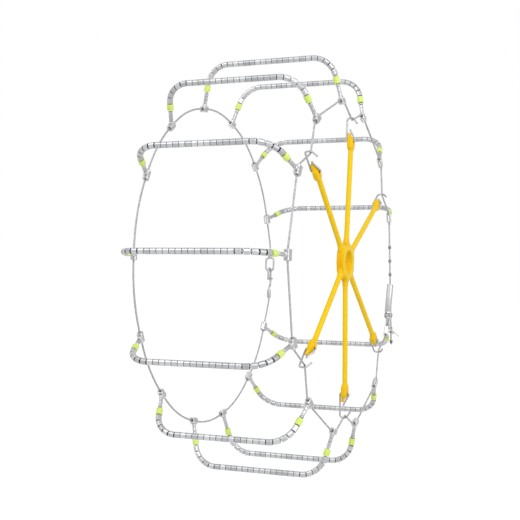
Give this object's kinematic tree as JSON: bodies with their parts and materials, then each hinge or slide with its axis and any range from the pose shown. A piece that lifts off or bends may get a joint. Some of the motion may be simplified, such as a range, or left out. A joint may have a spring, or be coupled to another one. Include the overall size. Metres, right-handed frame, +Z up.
{
  "type": "tyre snow chain",
  "caption": "Cable snow chain in its fitted shape: sleeved cross cables between two side cables, drawn tight by a six-armed rubber spider.",
  "frame": {"origin": "centre of the wheel that the chain is fitted to, on the wheel's axis and in the tyre's middle plane", "axes": "+Y along the wheel axis toward the vehicle, so -Y is the outer side with the rubber tensioner; +Z up; +X completes the frame"},
  "size_m": [0.6729, 0.2798, 0.6854],
  "materials": {
    "wire_rope": "stranded, bright",
    "clamp_metal": "zinc plated, satin",
    "sleeve_metal": "tumbled, satin",
    "safety_green": "fluorescent yellow-green, satin",
    "tensioner_rubber": "golden yellow, smooth moulded",
    "hook_wire": "bright zinc wire",
    "lever_steel": "pressed zinc-plated sheet"
  },
  "bodies": {
    "net": {"cross_cables": "wire_rope", "outer_side_cable": "wire_rope", "inner_side_cable": "wire_rope", "outer_cable_clamps": "clamp_metal", "outer_ferrules": "clamp_metal", "outer_collars": "clamp_metal", "outer_green_sleeves": "safety_green", "outer_shoulder_sleeves": "sleeve_metal", "inner_cable_clamps": "clamp_metal", "inner_ferrules": "clamp_metal", "inner_collars": "clamp_metal", "inner_green_sleeves": "safety_green", "inner_shoulder_sleeves": "sleeve_metal", "cable_beads": "clamp_metal", "closing_eye": "lever_steel", "closing_pin": "lever_steel", "tail_keeper": "lever_steel", "inner_loop": "lever_steel", "inner_hook": "lever_steel", "gate_pin": "lever_steel", "tensioner_hub": "tensioner_rubber", "tensioner_strap_1": "tensioner_rubber", "tensioner_strap_2": "tensioner_rubber", "tensioner_strap_3": "tensioner_rubber", "tensioner_strap_4": "tensioner_rubber", "tensioner_strap_5": "tensioner_rubber", "tensioner_strap_6": "tensioner_rubber"},
    "crown_rollers_01": {"crown_rollers_01": "sleeve_metal"},
    "crown_rollers_02": {"crown_rollers_02": "sleeve_metal"},
    "crown_rollers_03": {"crown_rollers_03": "sleeve_metal"},
    "crown_rollers_04": {"crown_rollers_04": "sleeve_metal"},
    "crown_rollers_05": {"crown_rollers_05": "sleeve_metal"},
    "crown_rollers_06": {"crown_rollers_06": "sleeve_metal"},
    "crown_rollers_07": {"crown_rollers_07": "sleeve_metal"},
    "crown_rollers_08": {"crown_rollers_08": "sleeve_metal"},
    "crown_rollers_09": {"crown_rollers_09": "sleeve_metal"},
    "crown_rollers_10": {"crown_rollers_10": "sleeve_metal"},
    "crown_rollers_11": {"crown_rollers_11": "sleeve_metal"},
    "crown_rollers_12": {"crown_rollers_12": "sleeve_metal"},
    "crown_rollers_13": {"crown_rollers_13": "sleeve_metal"},
    "hook_1": {"cable_hook_1": "hook_wire", "tensioner_grip_1": "tensioner_rubber"},
    "hook_2": {"cable_hook_2": "hook_wire", "tensioner_grip_2": "tensioner_rubber"},
    "hook_3": {"cable_hook_3": "hook_wire", "tensioner_grip_3": "tensioner_rubber"},
    "hook_4": {"cable_hook_4": "hook_wire", "tensioner_grip_4": "tensioner_rubber"},
    "hook_5": {"cable_hook_5": "hook_wire", "tensioner_grip_5": "tensioner_rubber"},
    "hook_6": {"cable_hook_6": "hook_wire", "tensioner_grip_6": "tensioner_rubber"},
    "lever": {"closing_lever": "lever_steel"},
    "gate": {"hook_gate": "lever_steel"}
  },
  "joints": [
    {"name": "rollers_01_spin", "type": "hinge", "parent": "net", "child": "crown_rollers_01", "pos_m": [-0.01183, 0, 0.33879], "axis": [0, 1, 0], "continuous": true},
    {"name": "rollers_02_spin", "type": "hinge", "parent": "net", "child": "crown_rollers_02", "pos_m": [-0.16642, 0, 0.29534], "axis": [0, 1, 0], "continuous": true},
    {"name": "rollers_03_spin", "type": "hinge", "parent": "net", "child": "crown_rollers_03", "pos_m": [-0.2753, 0, 0.19782], "axis": [0, 1, 0], "continuous": true},
    {"name": "rollers_04_spin", "type": "hinge", "parent": "net", "child": "crown_rollers_04", "pos_m": [-0.33545, 0, 0.04894], "axis": [0, 1, 0], "continuous": true},
    {"name": "rollers_05_spin", "type": "hinge", "parent": "net", "child": "crown_rollers_05", "pos_m": [-0.32034, 0, -0.11093], "axis": [0, 1, 0], "continuous": true},
    {"name": "rollers_06_spin", "type": "hinge", "parent": "net", "child": "crown_rollers_06", "pos_m": [-0.24386, 0, -0.23549], "axis": [0, 1, 0], "continuous": true},
    {"name": "rollers_07_spin", "type": "hinge", "parent": "net", "child": "crown_rollers_07", "pos_m": [-0.10813, 0, -0.32129], "axis": [0, 1, 0], "continuous": true},
    {"name": "rollers_08_spin", "type": "hinge", "parent": "net", "child": "crown_rollers_08", "pos_m": [0.0372, 0, -0.33695], "axis": [0, 1, 0], "continuous": true},
    {"name": "rollers_09_spin", "type": "hinge", "parent": "net", "child": "crown_rollers_09", "pos_m": [0.18809, 0, -0.28203], "axis": [0, 1, 0], "continuous": true},
    {"name": "rollers_10_spin", "type": "hinge", "parent": "net", "child": "crown_rollers_10", "pos_m": [0.28935, 0, -0.17662], "axis": [0, 1, 0], "continuous": true},
    {"name": "rollers_11_spin", "type": "hinge", "parent": "net", "child": "crown_rollers_11", "pos_m": [0.32775, 0, 0.0866], "axis": [0, 1, 0], "continuous": true},
    {"name": "rollers_12_spin", "type": "hinge", "parent": "net", "child": "crown_rollers_12", "pos_m": [0.26083, 0, 0.21654], "axis": [0, 1, 0], "continuous": true},
    {"name": "rollers_13_spin", "type": "hinge", "parent": "net", "child": "crown_rollers_13", "pos_m": [0.13191, 0, 0.31228], "axis": [0, 1, 0], "continuous": true},
    {"name": "hook_1_pull", "type": "slide", "parent": "net", "child": "hook_1", "axis": [0.7186, 0, -0.6954], "range_m": [0, 0.012], "stiffness_N_per_m": 400, "springref_m": -0.03, "deforming": ["tensioner_strap_1"]},
    {"name": "hook_2_pull", "type": "slide", "parent": "net", "child": "hook_2", "axis": [-0.076, 0, -0.9971], "range_m": [0, 0.012], "stiffness_N_per_m": 400, "springref_m": -0.03, "deforming": ["tensioner_strap_2"]},
    {"name": "hook_3_pull", "type": "slide", "parent": "net", "child": "hook_3", "axis": [-0.8287, 0, -0.5597], "range_m": [0, 0.012], "stiffness_N_per_m": 400, "springref_m": -0.03, "deforming": ["tensioner_strap_3"]},
    {"name": "hook_4_pull", "type": "slide", "parent": "net", "child": "hook_4", "axis": [-0.6676, 0, 0.7445], "range_m": [0, 0.012], "stiffness_N_per_m": 400, "springref_m": -0.03, "deforming": ["tensioner_strap_4"]},
    {"name": "hook_5_pull", "type": "slide", "parent": "net", "child": "hook_5", "axis": [0.2159, 0, 0.9764], "range_m": [0, 0.012], "stiffness_N_per_m": 400, "springref_m": -0.03, "deforming": ["tensioner_strap_5"]},
    {"name": "hook_6_pull", "type": "slide", "parent": "net", "child": "hook_6", "axis": [0.9075, 0, 0.4202], "range_m": [0, 0.012], "stiffness_N_per_m": 400, "springref_m": -0.03, "deforming": ["tensioner_strap_6"]},
    {"name": "lever_swing", "type": "hinge", "parent": "net", "child": "lever", "pos_m": [0.24132, -0.1228, -0.11243], "axis": [0, -1, 0], "range_deg": [0, 42]},
    {"name": "gate_swing", "type": "hinge", "parent": "net", "child": "gate", "pos_m": [0.26919, 0.1228, -0.04938], "axis": [0, 1, 0], "range_deg": [0, 50], "stiffness_Nm_per_rad": 0.01, "springref_deg": -17.19}
  ]
}
